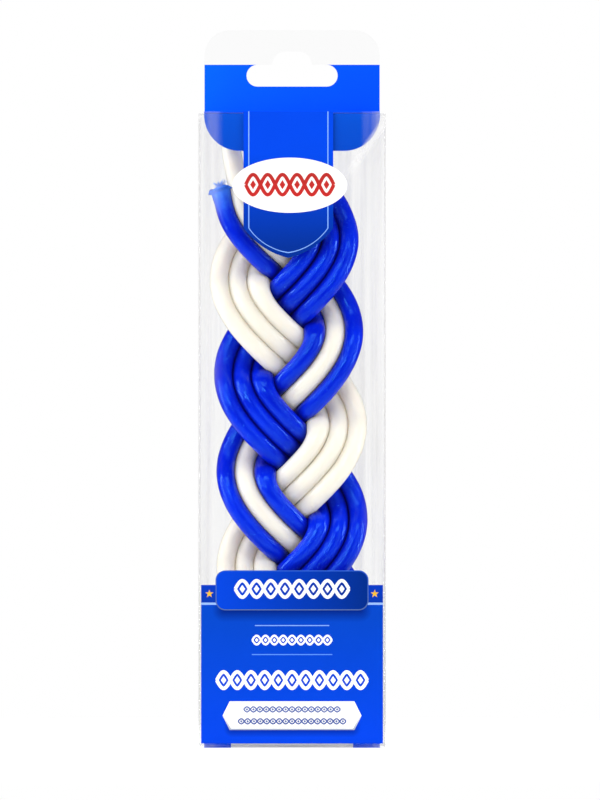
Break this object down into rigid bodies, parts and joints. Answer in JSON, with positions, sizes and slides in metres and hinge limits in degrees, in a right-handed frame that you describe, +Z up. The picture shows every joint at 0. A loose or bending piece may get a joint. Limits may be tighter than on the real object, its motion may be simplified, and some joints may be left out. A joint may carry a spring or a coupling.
{
  "type": "boxed havdalah candle",
  "caption": "Flat plaited candle of blue and white wax strands standing in a clear folding box with a blue hang tab, tuck-in lid and printed front.",
  "frame": {"origin": "middle of the box's foot", "axes": "+Z up, the printed front faces -Y, +X to the right of someone facing the front"},
  "size_m": [0.066, 0.0261, 0.2531],
  "materials": {
    "clear_sheet": "clear, glossy, creased film",
    "blue_sheet": "opaque blue print under gloss",
    "pennant_ink": "blue print",
    "band_ink": "blue print",
    "dark_ink": "dark blue print",
    "title_ink": "navy blue print",
    "pale_ink": "pale blue-white print",
    "white_ink": "white print",
    "cream_ink": "cream print",
    "border_ink": "warm grey print",
    "gold_ink": "gold print",
    "white_wax": "satin wax",
    "blue_wax": "satin dyed wax",
    "white_cotton": "braided cotton",
    "blue_cotton": "dyed braided cotton"
  },
  "bodies": {
    "sleeve": {"front_panel": "clear_sheet", "back_panel": "clear_sheet", "left_panel": "clear_sheet", "right_panel": "clear_sheet", "glue_flap": "clear_sheet", "hang_tab": "clear_sheet", "tab_ply": "blue_sheet", "pennant_print": "pennant_ink", "pennant_pinstripe": "pale_ink", "oval_badge": "white_ink", "base_band": "band_ink", "dark_strip": "dark_ink", "band_rules": "pale_ink", "gold_stars": "gold_ink", "title_border": "border_ink", "title_plate": "title_ink", "caption_border": "border_ink", "caption_plate": "cream_ink"},
    "lid": {"lid_panel": "blue_sheet"},
    "tuck": {"tuck_flap": "blue_sheet"},
    "dust_left": {"top_dust_flap_left": "clear_sheet"},
    "dust_right": {"top_dust_flap_right": "clear_sheet"},
    "bottom": {"bottom_panel": "blue_sheet", "bottom_blank": "white_ink"},
    "bottom_tuck": {"bottom_tuck_flap": "blue_sheet"},
    "bottom_dust_left": {"bottom_dust_flap_left": "clear_sheet"},
    "bottom_dust_right": {"bottom_dust_flap_right": "clear_sheet"},
    "candle": {"white_strand_left": "white_wax", "white_strand_middle": "white_wax", "white_strand_right": "white_wax", "mixed_strand_white": "white_wax", "blue_strand_left": "blue_wax", "blue_strand_middle": "blue_wax", "blue_strand_right": "blue_wax", "mixed_strand_blue_left": "blue_wax", "mixed_strand_blue_right": "blue_wax", "white_wick_left": "white_cotton", "white_wick_middle": "white_cotton", "white_wick_right": "white_cotton", "mixed_wick_white": "white_cotton", "blue_wick_left": "blue_cotton", "blue_wick_middle": "blue_cotton", "blue_wick_right": "blue_cotton", "mixed_wick_blue_left": "blue_cotton", "mixed_wick_blue_right": "blue_cotton"}
  },
  "joints": [
    {"name": "lid_hinge", "type": "hinge", "parent": "sleeve", "child": "lid", "pos_m": [0, 0.0117, 0.2238], "axis": [-1, 0, 0], "range_deg": [0, 80]},
    {"name": "tuck_fold", "type": "hinge", "parent": "lid", "child": "tuck", "pos_m": [0, -0.0114, 0.2231], "axis": [-1, 0, 0], "range_deg": [-48, 0]},
    {"name": "dust_left_fold", "type": "hinge", "parent": "sleeve", "child": "dust_left", "pos_m": [-0.0328, 0, 0.2231], "axis": [0, -1, 0], "range_deg": [0, 32]},
    {"name": "dust_right_fold", "type": "hinge", "parent": "sleeve", "child": "dust_right", "pos_m": [0.0328, 0, 0.2231], "axis": [0, 1, 0], "range_deg": [0, 32]},
    {"name": "bottom_hinge", "type": "hinge", "parent": "sleeve", "child": "bottom", "pos_m": [0, 0.0117, 0.0002], "axis": [1, 0, 0], "range_deg": [0, 80]},
    {"name": "bottom_tuck_fold", "type": "hinge", "parent": "bottom", "child": "bottom_tuck", "pos_m": [0, -0.0114, 0.0009], "axis": [1, 0, 0], "range_deg": [-48, 0]},
    {"name": "bottom_dust_left_fold", "type": "hinge", "parent": "sleeve", "child": "bottom_dust_left", "pos_m": [-0.0328, 0, 0.0009], "axis": [0, 1, 0], "range_deg": [0, 32]},
    {"name": "bottom_dust_right_fold", "type": "hinge", "parent": "sleeve", "child": "bottom_dust_right", "pos_m": [0.0328, 0, 0.0009], "axis": [0, -1, 0], "range_deg": [0, 32]},
    {"name": "candle_slide", "type": "slide", "parent": "sleeve", "child": "candle", "axis": [0, 0, 1], "range_m": [0, 0.006]}
  ],
  "couplings": [
    {"joint": "tuck_fold", "follows": "lid_hinge", "ratio": -0.6},
    {"joint": "dust_left_fold", "follows": "lid_hinge", "ratio": 0.4},
    {"joint": "dust_right_fold", "follows": "lid_hinge", "ratio": 0.4},
    {"joint": "bottom_tuck_fold", "follows": "bottom_hinge", "ratio": -0.6},
    {"joint": "bottom_dust_left_fold", "follows": "bottom_hinge", "ratio": 0.4},
    {"joint": "bottom_dust_right_fold", "follows": "bottom_hinge", "ratio": 0.4}
  ]
}
